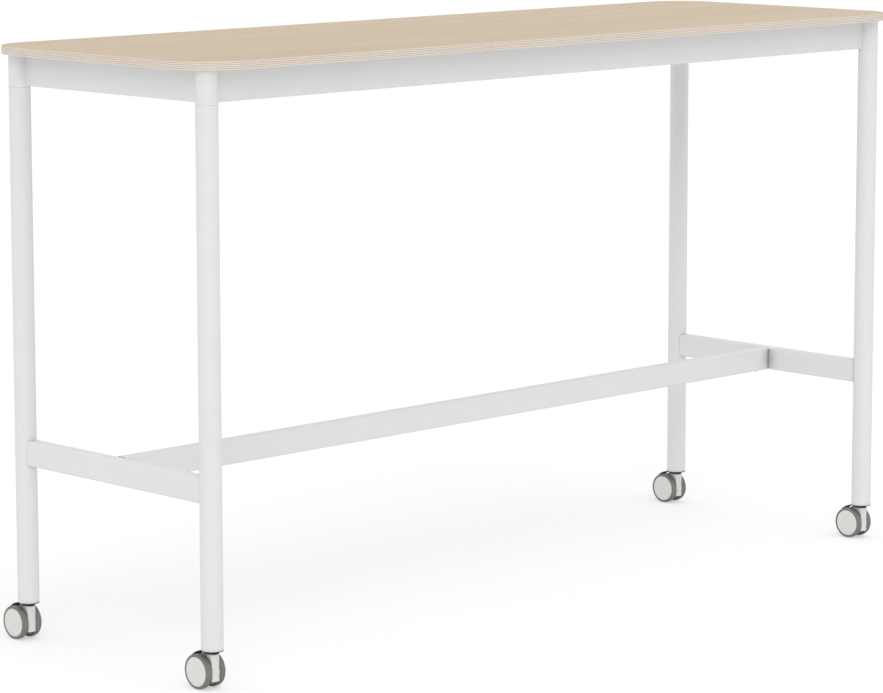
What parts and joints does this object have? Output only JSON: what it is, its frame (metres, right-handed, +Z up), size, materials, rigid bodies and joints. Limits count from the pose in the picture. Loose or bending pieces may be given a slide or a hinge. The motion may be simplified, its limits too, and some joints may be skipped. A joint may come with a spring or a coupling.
{
  "type": "mobile high table",
  "caption": "Long standing-height table: a plywood top with round corners on a white tube frame with a low footrest, rolling on braked twin-wheel swivel castors.",
  "frame": {"origin": "on the floor under the middle of the table top", "axes": "+X along the table's length, +Y to its back, +Z up"},
  "size_m": [1.9, 0.6237, 1.105],
  "materials": {
    "plywood": "clear matt lacquer on light veneer",
    "white_frame": "fine white powder coat",
    "white_plastic": "moulded satin",
    "black_plastic": "moulded satin",
    "dark_plastic": "moulded satin",
    "grey_rubber": "soft matt tread",
    "steel": "zinc plated"
  },
  "bodies": {
    "table": {"table_top": "plywood", "front_rail": "white_frame", "back_rail": "white_frame", "left_end_rail": "white_frame", "right_end_rail": "white_frame", "left_footrest_bar": "white_frame", "right_footrest_bar": "white_frame", "footrest_stretcher": "white_frame", "stretcher_connectors": "steel", "stretcher_screws": "steel", "leg_plugs": "steel", "leg_bolts": "steel", "rail_screws": "steel", "top_brackets": "steel", "bracket_screws": "steel", "top_screws": "steel", "castor_stems": "steel", "castor_collars": "black_plastic", "stem_clips": "steel", "front_left_corner": "white_frame", "front_left_leg": "white_frame", "front_left_castor_socket": "white_plastic", "front_right_corner": "white_frame", "front_right_leg": "white_frame", "front_right_castor_socket": "white_plastic", "back_left_corner": "white_frame", "back_left_leg": "white_frame", "back_left_castor_socket": "white_plastic", "back_right_corner": "white_frame", "back_right_leg": "white_frame", "back_right_castor_socket": "white_plastic"},
    "front_left_castor": {"front_left_castor_hood": "white_plastic", "front_left_castor_axle": "steel"},
    "front_left_castor_pedal": {"front_left_castor_brake_pedal": "dark_plastic"},
    "front_left_castor_left_roller": {"front_left_castor_left_wheel": "white_plastic", "front_left_castor_left_tread": "grey_rubber"},
    "front_left_castor_right_roller": {"front_left_castor_right_wheel": "white_plastic", "front_left_castor_right_tread": "grey_rubber"},
    "front_right_castor": {"front_right_castor_hood": "white_plastic", "front_right_castor_axle": "steel"},
    "front_right_castor_pedal": {"front_right_castor_brake_pedal": "dark_plastic"},
    "front_right_castor_left_roller": {"front_right_castor_left_wheel": "white_plastic", "front_right_castor_left_tread": "grey_rubber"},
    "front_right_castor_right_roller": {"front_right_castor_right_wheel": "white_plastic", "front_right_castor_right_tread": "grey_rubber"},
    "back_left_castor": {"back_left_castor_hood": "white_plastic", "back_left_castor_axle": "steel"},
    "back_left_castor_pedal": {"back_left_castor_brake_pedal": "dark_plastic"},
    "back_left_castor_left_roller": {"back_left_castor_left_wheel": "white_plastic", "back_left_castor_left_tread": "grey_rubber"},
    "back_left_castor_right_roller": {"back_left_castor_right_wheel": "white_plastic", "back_left_castor_right_tread": "grey_rubber"},
    "back_right_castor": {"back_right_castor_hood": "white_plastic", "back_right_castor_axle": "steel"},
    "back_right_castor_pedal": {"back_right_castor_brake_pedal": "dark_plastic"},
    "back_right_castor_left_roller": {"back_right_castor_left_wheel": "white_plastic", "back_right_castor_left_tread": "grey_rubber"},
    "back_right_castor_right_roller": {"back_right_castor_right_wheel": "white_plastic", "back_right_castor_right_tread": "grey_rubber"}
  },
  "joints": [
    {"name": "front_left_castor_swivel", "type": "hinge", "parent": "table", "child": "front_left_castor", "pos_m": [-0.9, -0.26, 0.071], "axis": [0, 0, 1], "continuous": true},
    {"name": "front_left_castor_left_roll", "type": "hinge", "parent": "front_left_castor", "child": "front_left_castor_left_roller", "pos_m": [-0.9, -0.24, 0.0315], "axis": [1, 0, 0], "continuous": true},
    {"name": "front_left_castor_right_roll", "type": "hinge", "parent": "front_left_castor", "child": "front_left_castor_right_roller", "pos_m": [-0.9, -0.24, 0.0315], "axis": [1, 0, 0], "continuous": true},
    {"name": "front_left_castor_brake", "type": "hinge", "parent": "front_left_castor", "child": "front_left_castor_pedal", "pos_m": [-0.9, -0.24, 0.0315], "axis": [-1, 0, 0], "range_deg": [0, 15]},
    {"name": "front_right_castor_swivel", "type": "hinge", "parent": "table", "child": "front_right_castor", "pos_m": [0.9, -0.26, 0.071], "axis": [0, 0, 1], "continuous": true},
    {"name": "front_right_castor_left_roll", "type": "hinge", "parent": "front_right_castor", "child": "front_right_castor_left_roller", "pos_m": [0.9, -0.24, 0.0315], "axis": [1, 0, 0], "continuous": true},
    {"name": "front_right_castor_right_roll", "type": "hinge", "parent": "front_right_castor", "child": "front_right_castor_right_roller", "pos_m": [0.9, -0.24, 0.0315], "axis": [1, 0, 0], "continuous": true},
    {"name": "front_right_castor_brake", "type": "hinge", "parent": "front_right_castor", "child": "front_right_castor_pedal", "pos_m": [0.9, -0.24, 0.0315], "axis": [-1, 0, 0], "range_deg": [0, 15]},
    {"name": "back_left_castor_swivel", "type": "hinge", "parent": "table", "child": "back_left_castor", "pos_m": [-0.9, 0.26, 0.071], "axis": [0, 0, 1], "continuous": true},
    {"name": "back_left_castor_left_roll", "type": "hinge", "parent": "back_left_castor", "child": "back_left_castor_left_roller", "pos_m": [-0.9, 0.28, 0.0315], "axis": [1, 0, 0], "continuous": true},
    {"name": "back_left_castor_right_roll", "type": "hinge", "parent": "back_left_castor", "child": "back_left_castor_right_roller", "pos_m": [-0.9, 0.28, 0.0315], "axis": [1, 0, 0], "continuous": true},
    {"name": "back_left_castor_brake", "type": "hinge", "parent": "back_left_castor", "child": "back_left_castor_pedal", "pos_m": [-0.9, 0.28, 0.0315], "axis": [-1, 0, 0], "range_deg": [0, 15]},
    {"name": "back_right_castor_swivel", "type": "hinge", "parent": "table", "child": "back_right_castor", "pos_m": [0.9, 0.26, 0.071], "axis": [0, 0, 1], "continuous": true},
    {"name": "back_right_castor_left_roll", "type": "hinge", "parent": "back_right_castor", "child": "back_right_castor_left_roller", "pos_m": [0.9, 0.28, 0.0315], "axis": [1, 0, 0], "continuous": true},
    {"name": "back_right_castor_right_roll", "type": "hinge", "parent": "back_right_castor", "child": "back_right_castor_right_roller", "pos_m": [0.9, 0.28, 0.0315], "axis": [1, 0, 0], "continuous": true},
    {"name": "back_right_castor_brake", "type": "hinge", "parent": "back_right_castor", "child": "back_right_castor_pedal", "pos_m": [0.9, 0.28, 0.0315], "axis": [-1, 0, 0], "range_deg": [0, 15]}
  ]
}
